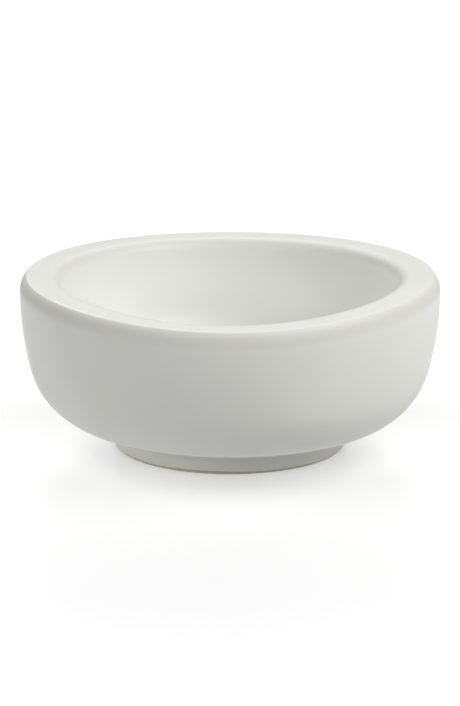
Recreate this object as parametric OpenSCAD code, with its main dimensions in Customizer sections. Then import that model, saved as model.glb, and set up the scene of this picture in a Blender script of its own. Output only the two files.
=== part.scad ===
// Ceramic lather bowl on a low foot ring, glazed inside and out.
// Millimetres, +Z up. The origin is the centre of the circle that the foot stands on.
// Every sub-part is a body of revolution about Z, drawn as a section with x = radius and y = height.

/* [Bowl] */
// Largest diameter, across the shoulder
bowl_d = 120; // [118:1:130]
// Height from the table to the flat rim
bowl_h = 49.3; // [47:0.1:50.5]
// Rounding of the rim's outer top edge
rim_edge_r = 1; // [0.8:0.1:2]
// Rounding of the shoulder below that edge
shoulder_r = 5.6; // [4.5:0.1:8]
// Radius of the slow vertical curve of the wall
wall_r = 86; // [82:1:95]
// How far the wall turns under before the belly starts, in degrees
wall_turn = 15; // [14:0.5:17]

/* [Well] */
// Diameter of the well just below the rim
well_d = 96.4; // [92:0.2:100]
// Rounding of the rim's inner top edge
lip_r = 3.3; // [2:0.1:4.5]
// Depth of the well at its centre, from the rim
well_depth = 35; // [30:0.5:36]
// Radius of the slow vertical curve of the well's wall
well_wall_r = 70; // [60:1:80]
// How far the well's wall turns in before it rounds into the floor, in degrees
well_turn = 14; // [12:1:16]
// Radius of the slightly dished floor
floor_r = 230; // [180:10:400]

/* [Foot] */
// Diameter of the foot ring, glaze included
foot_d = 66.4; // [58:0.2:68]
// Height of the bowl's underside above the table
foot_h = 6.8; // [6:0.1:8]
// Width of the foot ring's wall, glaze included
foot_wall = 6.2; // [4:0.1:9]
// Rounding of the foot ring's two lower edges
foot_edge_r = 0.5; // [0.3:0.1:0.7]

/* [Glaze] */
// Thickness of the glaze
glaze_t = 0.4; // [0.2:0.05:0.6]
// Height of the bare clay band above the table, where the glaze is wiped off the foot
bare_h = 0.8; // [0.8:0.1:1.5]
// Hollow round where the glaze pools in the corner between bowl and foot
pool_r = 1.2; // [0.6:0.1:1.6]

/* [Hidden] */
$fn = 128;

clay_colour = [0.80, 0.76, 0.66];
liner_colour = [0.86, 0.87, 0.83];
outside_colour = [0.82, 0.83, 0.79];
underside_colour = [0.78, 0.79, 0.74];

// How far a straight step of a section may lie from the arc that it stands for
arc_tolerance = 0.01;
// Angle at which the rim's outer edge runs into the shoulder
edge_turn = 45;

function dir(angle) = [cos(angle), sin(angle)];
function reversed(list) = [for (i = [len(list) - 1 : -1 : 0]) list[i]];

// An arc is [centre, radius, first angle, last angle, bulge]. Bulge is 1 where the bowl's surface bulges
// and -1 where it is hollow. Depth is how far under the glaze's face a point lies.
function arc_point(arc, angle, depth) = arc[0] + (arc[1] - arc[4] * depth) * dir(angle);
function arc_steps(arc) = ceil(abs(arc[3] - arc[2]) / (2 * acos(1 - arc_tolerance / arc[1])));

// The points of a chain of arcs. Each arc starts where the one before it ends and is tangent to it, because
// both centres lie on the line through the shared end.
function chain(arcs, depth) = concat(
    [arc_point(arcs[0], arcs[0][2], depth)],
    [
        for (arc = arcs)
            for (i = [1 : arc_steps(arc)])
                arc_point(arc, arc[2] + (arc[3] - arc[2]) * i / arc_steps(arc), depth)
    ]
);

// Outside of the bowl, from the rim's flat down to the flat underside. The foot's height fixes the belly's radius.
shoulder_c = [
    bowl_d / 2 - shoulder_r,
    bowl_h - rim_edge_r - (shoulder_r - rim_edge_r) * sin(edge_turn)
];
edge_c = shoulder_c + (shoulder_r - rim_edge_r) * dir(edge_turn);
wall_c = shoulder_c + (shoulder_r - wall_r) * dir(0);
belly_r = (shoulder_c.y - foot_h - wall_r * sin(wall_turn)) / (1 - sin(wall_turn));
belly_c = wall_c + (wall_r - belly_r) * dir(-wall_turn);
outside_arcs = [
    [edge_c, rim_edge_r, 90, edge_turn, 1],
    [shoulder_c, shoulder_r, edge_turn, 0, 1],
    [wall_c, wall_r, 0, -wall_turn, 1],
    [belly_c, belly_r, -wall_turn, -90, 1]
];

// Inside of the bowl, from the rim's flat over the lip to the middle of the floor. The round between wall
// and floor is tangent to both, which fixes its radius.
lip_c = [well_d / 2 + lip_r, bowl_h - lip_r];
well_c = lip_c - (lip_r + well_wall_r) * dir(0);
floor_c = [0, bowl_h - well_depth + floor_r];
wall_end = well_c + well_wall_r * dir(-well_turn);
floor_c_rise = floor_c.y - wall_end.y;
round_r = (pow(wall_end.x, 2) + pow(floor_c_rise, 2) - pow(floor_r, 2))
    / (2 * (wall_end.x * cos(well_turn) + floor_c_rise * sin(well_turn) - floor_r));
round_c = wall_end - round_r * dir(-well_turn);
floor_turn = acos(round_c.x / (floor_r - round_r));
inside_arcs = [
    [lip_c, lip_r, 90, 180, 1],
    [well_c, well_wall_r, 0, -well_turn, -1],
    [round_c, round_r, -well_turn, -floor_turn, -1],
    [floor_c, floor_r, -floor_turn, -90, -1]
];

// Radius at which the inside glaze meets the outside glaze, in the middle of the rim's flat
join_r = (lip_c.x + edge_c.x) / 2;
foot_r = foot_d / 2;
recess_r = foot_r - foot_wall;
// Height of the clay's underside, which the glaze and the foot ring touch
base_h = foot_h + glaze_t;

module turned(points) {
    rotate_extrude()
        polygon(points);
}

// Wall, rim and base as bare clay, one glaze thickness inside every glazed face
module clay_body() {
    color(clay_colour)
        turned(concat(
            chain(outside_arcs, glaze_t),
            [[0, base_h]],
            reversed(chain(inside_arcs, glaze_t))
        ));
}

// Clay ring with its two lower edges rounded
module foot_ring() {
    inner_r = recess_r + glaze_t;
    outer_r = foot_r - glaze_t;
    outer_edge = [[outer_r - foot_edge_r, foot_edge_r], foot_edge_r, 0, -90, 1];
    inner_edge = [[inner_r + foot_edge_r, foot_edge_r], foot_edge_r, -90, -180, 1];
    color(clay_colour)
        turned(concat(
            [[inner_r, base_h], [outer_r, base_h]],
            chain([outer_edge], 0),
            chain([inner_edge], 0)
        ));
}

// Glaze of the floor, the well's wall, the lip and the rim's flat as far as the join
module liner_glaze() {
    color(liner_colour)
        turned(concat(
            [[join_r, bowl_h - glaze_t], [join_r, bowl_h]],
            chain(inside_arcs, 0),
            reversed(chain(inside_arcs, glaze_t))
        ));
}

// Glaze of the rim outside the join, the wall, the belly and the foot's outside down to the bare band
module outer_glaze() {
    pool = [[foot_r + pool_r, foot_h - pool_r], pool_r, 90, 180, -1];
    color(outside_colour)
        turned(concat(
            [[join_r, bowl_h - glaze_t], [join_r, bowl_h]],
            chain(outside_arcs, 0),
            chain([pool], 0),
            [[foot_r, bare_h], [foot_r - glaze_t, bare_h], [foot_r - glaze_t, base_h]],
            reversed(chain(outside_arcs, glaze_t))
        ));
}

// Glaze of the recess inside the foot: its roof and its wall down to the bare band
module underside_glaze() {
    pool = [[recess_r - pool_r, foot_h - pool_r], pool_r, 90, 0, -1];
    color(underside_colour)
        turned(concat(
            [[0, base_h], [0, foot_h]],
            chain([pool], 0),
            [[recess_r, bare_h], [recess_r + glaze_t, bare_h], [recess_r + glaze_t, base_h]]
        ));
}

clay_body();
foot_ring();
liner_glaze();
outer_glaze();
underside_glaze();
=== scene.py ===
"""Looks of a glazed ceramic lather bowl that stands on a plain white floor. Metres, +Z up."""
import math

import bpy
import numpy as np
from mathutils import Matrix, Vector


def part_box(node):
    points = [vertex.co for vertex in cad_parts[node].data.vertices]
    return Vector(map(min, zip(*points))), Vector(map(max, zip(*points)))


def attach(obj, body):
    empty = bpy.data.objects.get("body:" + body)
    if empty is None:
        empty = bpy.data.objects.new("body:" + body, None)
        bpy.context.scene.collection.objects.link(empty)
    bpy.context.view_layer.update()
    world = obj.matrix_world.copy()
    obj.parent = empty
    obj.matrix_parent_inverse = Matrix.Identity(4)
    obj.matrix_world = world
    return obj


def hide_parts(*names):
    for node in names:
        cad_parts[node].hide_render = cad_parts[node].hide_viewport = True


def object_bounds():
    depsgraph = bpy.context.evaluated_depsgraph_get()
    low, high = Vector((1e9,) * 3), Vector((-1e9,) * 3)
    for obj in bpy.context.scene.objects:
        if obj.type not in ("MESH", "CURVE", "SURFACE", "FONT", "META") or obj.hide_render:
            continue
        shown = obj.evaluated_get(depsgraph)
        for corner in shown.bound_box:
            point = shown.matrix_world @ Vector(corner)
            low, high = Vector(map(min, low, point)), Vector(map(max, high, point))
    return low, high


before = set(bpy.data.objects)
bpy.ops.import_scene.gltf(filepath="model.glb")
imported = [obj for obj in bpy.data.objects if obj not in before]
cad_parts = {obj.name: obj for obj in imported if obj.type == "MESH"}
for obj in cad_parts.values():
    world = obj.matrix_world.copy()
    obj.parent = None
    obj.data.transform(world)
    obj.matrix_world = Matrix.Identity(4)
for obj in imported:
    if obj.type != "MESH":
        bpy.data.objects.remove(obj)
CAD_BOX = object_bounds()
MM = 0.001
FULL_TURN = 2 * math.pi
QUARTER_TURN = math.pi / 2

# ---------------------------------------------------------------- sizes that the frame gives

BOWL_R = CAD_BOX[1].x
BOWL_H = CAD_BOX[1].z
GLAZE_T = BOWL_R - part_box("clay_body")[1].x
JOIN_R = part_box("liner_glaze")[1].x
BASE_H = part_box("foot_ring")[1].z
FOOT_H = BASE_H - GLAZE_T
FOOT_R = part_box("foot_ring")[1].x + GLAZE_T
RECESS_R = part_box("underside_glaze")[1].x - GLAZE_T
BARE_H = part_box("outer_glaze")[0].z
FLOOR_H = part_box("liner_glaze")[0].z + GLAZE_T

# ---------------------------------------------------------------- curves of the section, as in the CAD

RIM_EDGE_R = 1 * MM
EDGE_TURN = math.radians(45)
SHOULDER_R = 5.6 * MM
WALL_R = 86 * MM
WALL_TURN = math.radians(15)
LIP_R = 3.3 * MM
WELL_WALL_R = 70 * MM
WELL_TURN = math.radians(14)
FLOOR_R = 230 * MM
POOL_R = 1.2 * MM
FOOT_EDGE_R = 0.5 * MM

# ---------------------------------------------------------------- unevenness of a hand-made bowl

# The rim isn't quite level: (waves round the rim, cosine height, sine height)
RIM_WAVES = [(1, 0, 0.2 * MM), (2, 0.9 * MM, 0), (3, 0, -0.2 * MM), (4, -0.1 * MM, 0)]
# Below this height the bowl is level
RIM_WAVES_FROM = 10 * MM
# The corner between bowl and foot leans: it is this much lower on the right, and higher on the left
CORNER_LEAN = 0.15 * MM
# The wall comes back to true over this height
CORNER_REACH = 12 * MM
# The potter's fingers left a shallow spiral: its pitch, its height and the width over which it fades in
SPIRAL_PITCH = 3.4 * MM
SPIRAL_H = 0.003 * MM
SPIRAL_FADE = 12 * MM
# Slow swells of the glazed faces: (waves round, length along the section, height, phase)
SWELLS = [(5, 31 * MM, 0.03 * MM, 0.4), (3, 43 * MM, 0.04 * MM, 2.1), (7, 26 * MM, 0.012 * MM, 4.0)]
# Spiral and swells fade out towards the axis, inside this radius
RELIEF_FROM_R = 30 * MM
# The lower edge of the glaze was wiped by hand: (waves round the foot, height, phase)
WIPE_WAVES = [(3, 0.14 * MM, 0.7), (8, 0.07 * MM, 2.9), (17, 0.04 * MM, 5.1)]
# How far up the wiping shows
WIPE_REACH = 2 * MM

# ---------------------------------------------------------------- fineness of the meshes

TURN_STEPS = 360
FACE_STEP = 0.6 * MM
HIDDEN_STEP = 2.4 * MM
LEAST_ARC_STEPS = 6
SHARP_ANGLE = math.radians(40)
SAME_PLACE = 1e-7


def direction(angle):
    return np.array([math.cos(angle), math.sin(angle)])


def smooth_step(value):
    t = np.clip(value, 0, 1)
    return t * t * (3 - 2 * t)


# ---------------------------------------------------------------- stretches of a section
# A section is drawn in (radius, height). A stretch of it is an arc or a straight line. It gives a point and
# the normal there for each share t, from 0 to 1, of its length.

UP, DOWN, OUT, IN = (0, 1), (0, -1), (1, 0), (-1, 0)


class Stretch:
    def __init__(self, length, point, normal, least_steps):
        self.length, self.point, self.normal, self.least_steps = length, point, normal, least_steps

    def samples(self, depth, step):
        """Pairs of point and normal, at that depth under the face."""
        count = max(self.least_steps, math.ceil(self.length / step))
        return [
            (self.point(i / count) - depth * self.normal(i / count), self.normal(i / count))
            for i in range(count + 1)
        ]


def arc(centre, radius, first, last, bulge):
    """Bulge is 1 where the face bulges and -1 where it is hollow."""

    def spoke(t):
        return direction(first + (last - first) * t)

    return Stretch(
        abs(last - first) * radius,
        lambda t: centre + radius * spoke(t),
        lambda t: bulge * spoke(t),
        LEAST_ARC_STEPS,
    )


def line(start, end, normal):
    start, end, normal = np.array(start), np.array(end), np.array(normal)
    return Stretch(np.linalg.norm(end - start), lambda t: start + (end - start) * t, lambda t: normal, 1)


# ---------------------------------------------------------------- the bowl's outside and inside

shoulder_c = np.array([
    BOWL_R - SHOULDER_R,
    BOWL_H - RIM_EDGE_R - (SHOULDER_R - RIM_EDGE_R) * math.sin(EDGE_TURN),
])
edge_c = shoulder_c + (SHOULDER_R - RIM_EDGE_R) * direction(EDGE_TURN)
wall_c = shoulder_c + (SHOULDER_R - WALL_R) * direction(0)
belly_r = (shoulder_c[1] - FOOT_H - WALL_R * math.sin(WALL_TURN)) / (1 - math.sin(WALL_TURN))
belly_c = wall_c + (WALL_R - belly_r) * direction(-WALL_TURN)
outer_pool_c = np.array([FOOT_R + POOL_R, FOOT_H - POOL_R])

OUTSIDE = [
    line((JOIN_R, BOWL_H), (edge_c[0], BOWL_H), UP),
    arc(edge_c, RIM_EDGE_R, QUARTER_TURN, EDGE_TURN, 1),
    arc(shoulder_c, SHOULDER_R, EDGE_TURN, 0, 1),
    arc(wall_c, WALL_R, 0, -WALL_TURN, 1),
    arc(belly_c, belly_r, -WALL_TURN, -QUARTER_TURN, 1),
]

lip_c = np.array([2 * JOIN_R - edge_c[0], BOWL_H - LIP_R])
well_c = lip_c - (LIP_R + WELL_WALL_R) * direction(0)
floor_c = np.array([0, FLOOR_H + FLOOR_R])
wall_end = well_c + WELL_WALL_R * direction(-WELL_TURN)
floor_c_rise = floor_c[1] - wall_end[1]
round_r = (wall_end[0] ** 2 + floor_c_rise ** 2 - FLOOR_R ** 2) / (
    2 * (wall_end[0] * math.cos(WELL_TURN) + floor_c_rise * math.sin(WELL_TURN) - FLOOR_R)
)
round_c = wall_end - round_r * direction(-WELL_TURN)
floor_turn = math.acos(round_c[0] / (FLOOR_R - round_r))
inner_pool_c = np.array([RECESS_R - POOL_R, FOOT_H - POOL_R])

INSIDE = [
    line((JOIN_R, BOWL_H), (lip_c[0], BOWL_H), UP),
    arc(lip_c, LIP_R, QUARTER_TURN, 2 * QUARTER_TURN, 1),
    arc(well_c, WELL_WALL_R, 0, -WELL_TURN, -1),
    arc(round_c, round_r, -WELL_TURN, -floor_turn, -1),
    arc(floor_c, FLOOR_R, -floor_turn, -QUARTER_TURN, -1),
]

# ---------------------------------------------------------------- closed outlines of the five pieces


class Outline:
    """A closed outline. A row is (point, normal, run), where run is how far along the exposed face it lies,
    or None on a face that is hidden or isn't glazed."""

    def __init__(self):
        self.rows = []
        self.run = 0.0

    def add(self, point, normal, run=None):
        if self.rows and np.allclose(self.rows[-1][0], point, atol=SAME_PLACE):
            self.rows.pop()
        self.rows.append((point, normal, run))

    def face(self, stretches):
        """An exposed, glazed face."""
        for stretch in stretches:
            samples = stretch.samples(0, FACE_STEP)
            self.add(*samples[0], self.run)
            for (before, _), (point, normal) in zip(samples, samples[1:]):
                self.run += float(np.linalg.norm(point - before))
                self.add(point, normal, self.run)
        return self

    def plain(self, stretches, depth=0.0, step=FACE_STEP):
        """A face without relief, at that depth under the glaze."""
        for stretch in stretches:
            for point, normal in stretch.samples(depth, step):
                self.add(point, normal)
        return self

    def back(self, stretches):
        """The hidden face under a coat of glaze, from the far end to the join."""
        for stretch in reversed(stretches):
            for point, normal in reversed(stretch.samples(GLAZE_T, HIDDEN_STEP)):
                self.add(point, normal)
        return self

    def corner(self, radius, height):
        self.add(np.array([radius, height]), np.zeros(2))
        return self


def wall_outline():
    """Glaze of the outer half of the rim, the wall, the belly and the foot. It ends in a round bead."""
    bead_c = np.array([FOOT_R - GLAZE_T / 2, BARE_H + GLAZE_T / 2])
    return Outline().face([
        *OUTSIDE,
        line((belly_c[0], FOOT_H), (outer_pool_c[0], FOOT_H), DOWN),
        arc(outer_pool_c, POOL_R, QUARTER_TURN, 2 * QUARTER_TURN, -1),
        line((FOOT_R, outer_pool_c[1]), (FOOT_R, bead_c[1]), OUT),
        arc(bead_c, GLAZE_T / 2, 0, -2 * QUARTER_TURN, 1),
    ]).corner(FOOT_R - GLAZE_T, BASE_H).back(OUTSIDE)


def well_outline():
    """Glaze of the inner half of the rim, the lip, the well's wall and its floor."""
    return Outline().face(INSIDE).back(INSIDE)


def recess_outline():
    """Glaze of the recess inside the foot: its roof and its wall, which ends in a round bead."""
    bead_c = np.array([RECESS_R + GLAZE_T / 2, BARE_H + GLAZE_T / 2])
    return Outline().face([
        line((0, FOOT_H), (inner_pool_c[0], FOOT_H), DOWN),
        arc(inner_pool_c, POOL_R, QUARTER_TURN, 0, -1),
        line((RECESS_R, inner_pool_c[1]), (RECESS_R, bead_c[1]), IN),
        arc(bead_c, GLAZE_T / 2, 2 * QUARTER_TURN, 4 * QUARTER_TURN, 1),
    ]).corner(RECESS_R + GLAZE_T, BASE_H).corner(0, BASE_H)


def body_outline():
    """Clay of the wall and the base, one glaze thickness inside every glazed face."""
    return Outline().plain(OUTSIDE, GLAZE_T, HIDDEN_STEP).corner(0, BASE_H).back(INSIDE)


def foot_outline():
    """Clay ring with its two lower edges rounded."""
    inner, outer = RECESS_R + GLAZE_T, FOOT_R - GLAZE_T
    outer_edge_c = np.array([outer - FOOT_EDGE_R, FOOT_EDGE_R])
    inner_edge_c = np.array([inner + FOOT_EDGE_R, FOOT_EDGE_R])
    return Outline().corner(inner, BASE_H).plain([
        line((outer, BASE_H), (outer, FOOT_EDGE_R), OUT),
        arc(outer_edge_c, FOOT_EDGE_R, 0, -QUARTER_TURN, 1),
        line((outer_edge_c[0], 0), (inner_edge_c[0], 0), DOWN),
        arc(inner_edge_c, FOOT_EDGE_R, -QUARTER_TURN, -2 * QUARTER_TURN, 1),
        line((inner, FOOT_EDGE_R), (inner, BASE_H), IN),
    ])


# ---------------------------------------------------------------- turning an outline into a mesh


def rise(height, turn):
    """How far a point moves up: the rim rises and falls, the corner leans, and the foot stands level."""
    waves = sum(c * np.cos(n * turn) + s * np.sin(n * turn) for n, c, s in RIM_WAVES)
    rim = waves * smooth_step((height - RIM_WAVES_FROM) / (BOWL_H - RIM_WAVES_FROM))
    near_corner = smooth_step(height / FOOT_H) * (1 - smooth_step((height - FOOT_H) / CORNER_REACH))
    return rim - CORNER_LEAN * near_corner * np.cos(turn)


def relief(run, radius, height, turn):
    """How far the glazed face stands proud of its true curve."""
    spiral = SPIRAL_H * np.sin(FULL_TURN * run / SPIRAL_PITCH - turn)
    swell = sum(h * np.sin(n * turn + p) * np.sin(FULL_TURN * run / w) for n, w, h, p in SWELLS)
    fade = smooth_step(run / SPIRAL_FADE) * smooth_step((height - BASE_H) / BASE_H)
    return fade * smooth_step(radius / RELIEF_FROM_R) * (spiral + swell)


def wipe_rise(height, turn):
    """How far a coat's lower edge moves up."""
    waves = sum(h * np.sin(n * turn + p) for n, h, p in WIPE_WAVES)
    return waves * (1 - smooth_step((height - BARE_H) / WIPE_REACH))


# Rings of painted shade in the colour of thin glaze, which is also matt there: a dark line painted along the
# shoulder, and a darker lip that dims its highlight: (radius, height, reach, share)
PAINTED_SHADE_RINGS = [
    (*(shoulder_c + SHOULDER_R * direction(math.radians(22))), 3.2 * MM, 0.85),
    (*(lip_c + LIP_R * direction(math.radians(120))), 4.0 * MM, 0.55),
]
# Where it pools in a hollow corner, thicker and glossier towards it; the same mask paints a whiter sheen
# over most of its reach and painted shade right at the corner: (radius, height, reach)
OUTER_POOL_SHEEN_SHADE = (FOOT_R, FOOT_H, 20 * MM)
INNER_POOL_SHEEN_SHADE = (RECESS_R, FOOT_H, 5 * MM)
# Inside the rim's join it turns a little cooler over this width
INSIDE_FADE = 8 * MM
# On the foot it is thin all over, below this height
THIN_FOOT_H = FOOT_H - 0.6 * MM
THIN_FOOT_FADE = 1.6 * MM


def near(point, radius, height, reach):
    """1 at that radius and height, falling to 0 at the reach."""
    return float(smooth_step(1 - math.dist(point, (radius, height)) / reach))


def thin_and_shade_share(point):
    """How thin the glaze is at a point, from 0 to 1. On the foot that is the glaze's own thinness; on the
    shoulder and lip rings it is painted shade.
    """
    foot = float(smooth_step((THIN_FOOT_H - point[1]) / THIN_FOOT_FADE))
    return max(foot, *(share * near(point, *ring) for *ring, share in PAINTED_SHADE_RINGS))


GLAZE_SHARES = ("thin_and_shade", "pool_sheen_and_shade", "inside")


def glaze_shares(point, pool_sheen_shade):
    """How thin the glaze is at a point, together with the painted shade of the shoulder and lip; how much it
    pools there, which also paints a sheen and shade; and how far inside the rim's join it is.
    """
    pool_sheen_and_shade = near(point, *pool_sheen_shade) if pool_sheen_shade else 0
    return [thin_and_shade_share(point), pool_sheen_and_shade, float(smooth_step((JOIN_R - point[0]) / INSIDE_FADE))]


def ring_of(point, normal, run, coat):
    """The vertices that one point of an outline makes. A point on the axis makes a single one."""
    if point[0] < SAME_PLACE:
        return np.array([[0, 0, point[1]]])
    turn = np.arange(TURN_STEPS) * FULL_TURN / TURN_STEPS
    lift = 0 if run is None else relief(run, *point, turn)
    radius = point[0] + normal[0] * lift
    height = point[1] + normal[1] * lift + rise(point[1], turn)
    if coat:
        height = height + wipe_rise(point[1], turn)
    return np.stack([radius * np.cos(turn), radius * np.sin(turn), height], axis=1)


def faces_between(a, b):
    """Faces from one ring to the next. A ring is (index of its first vertex, how many it has)."""
    (first_a, count_a), (first_b, count_b) = a, b
    if count_a == count_b == 1:
        return []
    found = []
    for i in range(max(count_a, count_b)):
        j = (i + 1) % TURN_STEPS
        if count_a == 1:
            found.append((first_a, first_b + i, first_b + j))
        elif count_b == 1:
            found.append((first_a + j, first_a + i, first_b))
        else:
            found.append((first_a + i, first_b + i, first_b + j, first_a + j))
    return found


def clockwise(rows):
    """The rows in the order that makes the turned faces look outwards, with no point twice at the ends."""
    if np.allclose(rows[0][0], rows[-1][0], atol=SAME_PLACE):
        rows = rows[:-1]
    radii, heights = np.array([point for point, _, _ in rows]).T
    doubled_area = np.sum(radii * np.roll(heights, -1) - np.roll(radii, -1) * heights)
    return rows if doubled_area < 0 else rows[::-1]


def turned(name, outline, coat, pool_sheen_shade):
    """A closed mesh: the outline turned about Z. A coat of glaze has a wiped edge and may have a pool, whose
    share also carries a painted sheen and painted shade.
    """
    parts, shares, rings, count = [], [], [], 0
    for point, normal, run in clockwise(outline.rows):
        ring = ring_of(point, normal, run, coat)
        parts.append(ring)
        shares.append(np.tile(glaze_shares(point, pool_sheen_shade), (len(ring), 1)))
        rings.append((count, len(ring)))
        count += len(ring)
    faces = [f for a, b in zip(rings, rings[1:] + rings[:1]) for f in faces_between(a, b)]
    mesh = bpy.data.meshes.new(name)
    mesh.from_pydata(np.concatenate(parts).tolist(), [], faces)
    if coat:
        columns = np.concatenate(shares).astype(np.float32).T.copy()
        for label, values in zip(GLAZE_SHARES, columns):
            mesh.attributes.new(label, "FLOAT", "POINT").data.foreach_set("value", values)
    mesh.shade_smooth()
    mesh.set_sharp_from_angle(angle=SHARP_ANGLE)
    piece = bpy.data.objects.new(name, mesh)
    bpy.context.scene.collection.objects.link(piece)
    return piece


# ---------------------------------------------------------------- materials


class Nodes:
    """A material and a few short ways to write its nodes. Scales are in features per metre."""

    FACTOR, COLOUR_A, COLOUR_B, COLOUR_OUT = 0, 6, 7, 2

    def __init__(self, name):
        self.material = bpy.data.materials.new(name)
        self.material.use_nodes = True
        self.tree = self.material.node_tree
        self.shader = self.tree.nodes["Principled BSDF"].inputs
        self.place = self.tree.nodes.new("ShaderNodeTexCoord").outputs["Object"]

    def link(self, source, target):
        self.tree.links.new(source, target)

    def noise(self, scale, detail):
        node = self.tree.nodes.new("ShaderNodeTexNoise")
        node.inputs["Scale"].default_value = scale
        node.inputs["Detail"].default_value = detail
        self.link(self.place, node.inputs["Vector"])
        return node.outputs["Fac"]

    def spots(self, scale):
        """Distance to the nearest of many scattered points, in widths of a cell."""
        node = self.tree.nodes.new("ShaderNodeTexVoronoi")
        node.inputs["Scale"].default_value = scale
        self.link(self.place, node.inputs["Vector"])
        return node.outputs["Distance"]

    def mesh_value(self, name):
        node = self.tree.nodes.new("ShaderNodeAttribute")
        node.attribute_name = name
        return node.outputs["Fac"]

    def span(self, value, low, high, to_low=0.0, to_high=1.0):
        """A value from low to high becomes one from to_low to to_high, and stays inside them."""
        node = self.tree.nodes.new("ShaderNodeMapRange")
        ends = {"From Min": low, "From Max": high, "To Min": to_low, "To Max": to_high}
        for name, number in ends.items():
            node.inputs[name].default_value = number
        self.link(value, node.inputs["Value"])
        return node.outputs["Result"]

    def math(self, operation, *values):
        node = self.tree.nodes.new("ShaderNodeMath")
        node.operation = operation
        for socket, value in zip(node.inputs, values):
            if isinstance(value, float):
                socket.default_value = value
            else:
                self.link(value, socket)
        return node.outputs[0]

    def mix(self, share, a, b):
        node = self.tree.nodes.new("ShaderNodeMix")
        node.data_type = "RGBA"
        self.link(share, node.inputs[self.FACTOR])
        for value, index in ((a, self.COLOUR_A), (b, self.COLOUR_B)):
            if isinstance(value, tuple):
                node.inputs[index].default_value = (*value, 1)
            else:
                self.link(value, node.inputs[index])
        return node.outputs[self.COLOUR_OUT]

    def bump(self, height, distance, under=None):
        node = self.tree.nodes.new("ShaderNodeBump")
        node.inputs["Distance"].default_value = distance
        self.link(height, node.inputs["Height"])
        if under is not None:
            self.link(under, node.inputs["Normal"])
        return node.outputs["Normal"]


# Scales of patterns are in features per metre
CLOUD_SCALE = 45
SATIN_SCALE = 90
PEEL_SCALE = 650
PIT_SCALE = 420
# From a pit's middle to the edge of its floor and to its brim, in widths of a cell
PIT_SPAN = (0.05, 0.12)
PEEL_H = 0.004 * MM
PIT_H = 0.004 * MM
SATIN_ROUGHNESS = (0.38, 0.43)
# Thin glaze is this much rougher, and pooled glaze this much smoother
THIN_MATT = 0.25
POOL_GLOSS = 0.24
# How far thin glaze takes on the colour of the clay behind it; on the shoulder and lip rings the same mix is
# painted shade
THIN_AND_SHADE_SHOW = 0.6
GLAZE_LIGHT = (0.865, 0.872, 0.818)
GLAZE_DEEP = (0.838, 0.846, 0.789)
GLAZE_INSIDE = (0.852, 0.858, 0.824)
GLAZE_THIN_AND_SHADE = (0.665, 0.650, 0.565)
# Painted sheen: a whiter band over the pool, on the belly's underside near the foot, standing in for the
# reflected white floor
GLAZE_PAINTED_SHEEN = (0.945, 0.938, 0.895)
# Darker, greener pooled glaze with painted shade, right in the corners between belly and foot and in the
# recess
GLAZE_POOLED_AND_SHADE = (0.640, 0.655, 0.590)


def glaze_material(name, inside):
    """Off-white satin glaze: faintly cloudy, warmer and matt where thin, and glossy where it pools. Its
    colour also holds painted shade on the shoulder and the lip, darker pooled glaze with painted shade right
    in the corners, and a whiter painted sheen over the rest of the pool.
    """
    n = Nodes(name)
    thin_and_shade = n.mesh_value("thin_and_shade")
    pool_sheen_and_shade = n.mesh_value("pool_sheen_and_shade")
    clouds = n.span(n.noise(CLOUD_SCALE, 1.0), 0.3, 0.7)
    colour = n.mix(clouds, GLAZE_LIGHT, GLAZE_DEEP)
    if inside:
        colour = n.mix(n.mesh_value("inside"), colour, GLAZE_INSIDE)
    # Painted sheen: whiter over most of the pool's reach
    colour = n.mix(n.span(pool_sheen_and_shade, 0.1, 0.6), colour, GLAZE_PAINTED_SHEEN)
    # Painted shade: darker and greener right at the corner, with the pooled glaze
    colour = n.mix(n.span(pool_sheen_and_shade, 0.96, 1, 0, 0.5), colour, GLAZE_POOLED_AND_SHADE)
    # Warmer where the glaze is thin; on the shoulder and lip rings this is painted shade
    colour = n.mix(n.math("MULTIPLY", thin_and_shade, THIN_AND_SHADE_SHOW), colour, GLAZE_THIN_AND_SHADE)
    n.link(colour, n.shader["Base Color"])
    satin = n.span(n.noise(SATIN_SCALE, 2.0), 0.3, 0.7, *SATIN_ROUGHNESS)
    matt = n.math("MULTIPLY_ADD", thin_and_shade, THIN_MATT, satin)
    gloss = n.span(pool_sheen_and_shade, 0.1, 0.5, 0, POOL_GLOSS)
    n.link(n.math("SUBTRACT", matt, gloss), n.shader["Roughness"])
    peel = n.bump(n.noise(PEEL_SCALE, 2.0), PEEL_H)
    pits = n.bump(n.span(n.spots(PIT_SCALE), *PIT_SPAN), PIT_H, peel)
    n.link(pits, n.shader["Normal"])
    return n.material


CLAY_MOTTLE_SCALE = 500
CLAY_MATT_SCALE = 900
CLAY_GRAIN_SCALE = 2600
CLAY_GRAIN_H = 0.05 * MM
CLAY_ROUGHNESS = (0.78, 0.95)
CLAY_LIGHT = (0.64, 0.575, 0.46)
CLAY_DARK = (0.50, 0.44, 0.34)


def clay_material(name):
    """Bare fired clay: warm, matt and grainy."""
    n = Nodes(name)
    colour = n.mix(n.span(n.noise(CLAY_MOTTLE_SCALE, 4.0), 0.35, 0.65), CLAY_LIGHT, CLAY_DARK)
    n.link(colour, n.shader["Base Color"])
    roughness = n.span(n.noise(CLAY_MATT_SCALE, 3.0), 0.3, 0.7, *CLAY_ROUGHNESS)
    n.link(roughness, n.shader["Roughness"])
    n.link(n.bump(n.noise(CLAY_GRAIN_SCALE, 4.0), CLAY_GRAIN_H), n.shader["Normal"])
    return n.material


# ---------------------------------------------------------------- the five pieces


def put(name, outline, material, node, coat, pool_sheen_shade=None):
    piece = turned(name, outline, coat, pool_sheen_shade)
    piece.data.materials.append(material)
    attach(piece, "root")
    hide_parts(node)
    return piece


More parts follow.
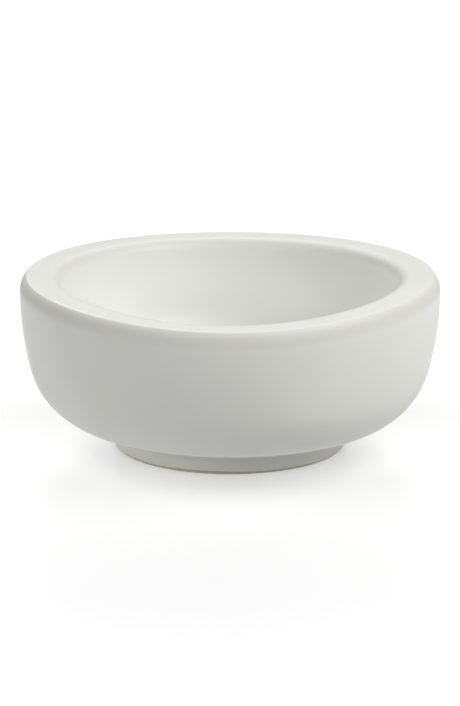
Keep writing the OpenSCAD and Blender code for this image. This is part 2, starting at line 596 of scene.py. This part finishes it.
glaze = glaze_material("glaze", inside=False)
liner = glaze_material("liner", inside=True)
clay = clay_material("clay")
pieces = [
    put("thrown_body", body_outline(), clay, "clay_body", coat=False),
    put("foot_clay", foot_outline(), clay, "foot_ring", coat=False),
    put("well_coat", well_outline(), liner, "liner_glaze", coat=True),
    put("wall_coat", wall_outline(), glaze, "outer_glaze", coat=True, pool_sheen_shade=OUTER_POOL_SHEEN_SHADE),
    put(
        "recess_coat", recess_outline(), glaze, "underside_glaze",
        coat=True, pool_sheen_shade=INNER_POOL_SHEEN_SHADE,
    ),
]

# ---------------------------------------------------------------- floor

WHITE = (1, 1, 1, 1)
FLOOR_SIZE = 3.2
FLOOR_TINT = (0.95, 0.95, 0.95, 1)
FLOOR_ROUGHNESS = 0.25
FLOOR_IOR = 1.22
FLOOR_GLOW = 0.28
TABLE_SIZE = 12.0
TABLE_TINT = (0.15, 0.15, 0.15, 1)
TABLE_ROUGHNESS = 0.6
TABLE_GLOW = 0.34
# How far the table lies under the floor
TABLE_DROP = 0.02 * MM


def plane(name, size, height, tint, roughness, glow):
    """A square stage plane. Returns the object and the inputs of its shader."""
    mesh = bpy.data.meshes.new(name)
    half = size / 2
    corners = [(x * half, y * half, height) for x, y in ((-1, -1), (1, -1), (1, 1), (-1, 1))]
    mesh.from_pydata(corners, [], [(0, 1, 2, 3)])
    made = bpy.data.objects.new(name, mesh)
    bpy.context.scene.collection.objects.link(made)
    material = Nodes(name)
    material.shader["Base Color"].default_value = tint
    material.shader["Roughness"].default_value = roughness
    material.shader["Emission Color"].default_value = WHITE
    material.shader["Emission Strength"].default_value = glow
    mesh.materials.append(material.material)
    return made, material.shader


def make_floor():
    """The white floor is what is seen, and has lamps of its own. The light that comes up to the bowl comes
    from the table under it, as where a studio lights the object and the floor apart."""
    floor, shader = plane("floor", FLOOR_SIZE, 0, FLOOR_TINT, FLOOR_ROUGHNESS, FLOOR_GLOW)
    shader["IOR"].default_value = FLOOR_IOR
    floor.visible_diffuse = False
    floor.visible_shadow = False
    table, _ = plane("table", TABLE_SIZE, -TABLE_DROP, TABLE_TINT, TABLE_ROUGHNESS, TABLE_GLOW)
    table.visible_camera = False
    table.visible_glossy = False
    return floor, table


floor, table = make_floor()

# ---------------------------------------------------------------- camera

CAMERA_AT = (0, -1.1, 0.32)
CAMERA_PITCH = math.radians(14.935)
CAMERA_LENS = 202.3
CAMERA_SENSOR = 36


def make_camera():
    data = bpy.data.cameras.new("camera")
    data.lens = CAMERA_LENS
    data.sensor_width = CAMERA_SENSOR
    camera = bpy.data.objects.new("camera", data)
    camera.location = CAMERA_AT
    camera.rotation_euler = (math.pi / 2 - CAMERA_PITCH, 0, 0)
    bpy.context.scene.collection.objects.link(camera)
    bpy.context.scene.camera = camera


make_camera()

# ---------------------------------------------------------------- light

WORLD_LIGHT = 0.02


def make_world():
    """A white backdrop to look at, which lights the bowl only a little."""
    world = bpy.data.worlds.new("studio")
    bpy.context.scene.world = world
    world.use_nodes = True
    tree = world.node_tree
    light = tree.nodes["Background"]
    light.inputs["Color"].default_value = WHITE
    light.inputs["Strength"].default_value = WORLD_LIGHT
    backdrop = tree.nodes.new("ShaderNodeBackground")
    backdrop.inputs["Color"].default_value = WHITE
    path = tree.nodes.new("ShaderNodeLightPath")
    mix = tree.nodes.new("ShaderNodeMixShader")
    tree.links.new(path.outputs["Is Camera Ray"], mix.inputs["Fac"])
    tree.links.new(light.outputs[0], mix.inputs[1])
    tree.links.new(backdrop.outputs[0], mix.inputs[2])
    tree.links.new(mix.outputs[0], tree.nodes["World Output"].inputs["Surface"])


def lit_group(name, objects):
    """A collection that only says which objects a lamp lights."""
    group = bpy.data.collections.new(name)
    for piece in objects:
        group.objects.link(piece)
    return group


def softbox(name, azimuth, elevation, width, height, radiance, distance, lights):
    """A rectangular softbox that faces the bowl. Azimuth 0 is behind it and 90 to its right, in degrees."""
    a, e = math.radians(azimuth), math.radians(elevation)
    data = bpy.data.lights.new(name, "AREA")
    data.shape = "RECTANGLE"
    data.size, data.size_y = width, height
    data.energy = radiance * math.pi * width * height
    lamp = bpy.data.objects.new(name, data)
    lamp.location = (
        distance * math.sin(a) * math.cos(e),
        distance * math.cos(a) * math.cos(e),
        distance * math.sin(e) + BOWL_H / 2,
    )
    lamp.rotation_mode = "QUATERNION"
    lamp.rotation_quaternion = lamp.location.to_track_quat("Z", "Y")
    lamp.visible_camera = False
    lamp.light_linking.receiver_collection = lights
    bpy.context.scene.collection.objects.link(lamp)


# (name, azimuth, elevation, width, height, radiance)
BOWL_LAMPS = [
    ("key_high", 120, 48, 0.80, 0.60, 6.0),
    ("key", 117, 32, 0.72, 0.32, 1.5),
    ("right_low", 99, 18, 0.68, 0.24, 3.0),
    ("top_back", 348, 48, 1.10, 0.60, 3.5),
    ("back_left", 342, 25, 0.34, 0.50, 1.5),
    ("left_front", 234, 18, 1.02, 0.24, 4.0),
    ("left_low", 270, 7, 0.36, 0.20, 1.5),
    ("left_high", 264, 48, 0.50, 0.45, 2.0),
]
FLOOR_LAMPS = [
    ("floor_front", 180, 60, 2.4, 2.4, 0.75),
    ("floor_low", 180, 25, 3.4, 1.4, 1.75),
    ("floor_left", 270, 45, 2.4, 2.4, 2.0),
    ("floor_right", 90, 45, 2.4, 2.4, 2.0),
    ("floor_back", 0, 14, 4.0, 1.6, 1.5),
]
BOWL_LAMP_DISTANCE = 1.2
FLOOR_LAMP_DISTANCE = 3.0

make_world()
on_bowl = lit_group("on_bowl", [*pieces, table])
on_floor = lit_group("on_floor", [floor])
for lamp in BOWL_LAMPS:
    softbox(*lamp, BOWL_LAMP_DISTANCE, on_bowl)
for lamp in FLOOR_LAMPS:
    softbox(*lamp, FLOOR_LAMP_DISTANCE, on_floor)

bpy.context.scene.view_settings.view_transform = "Standard"
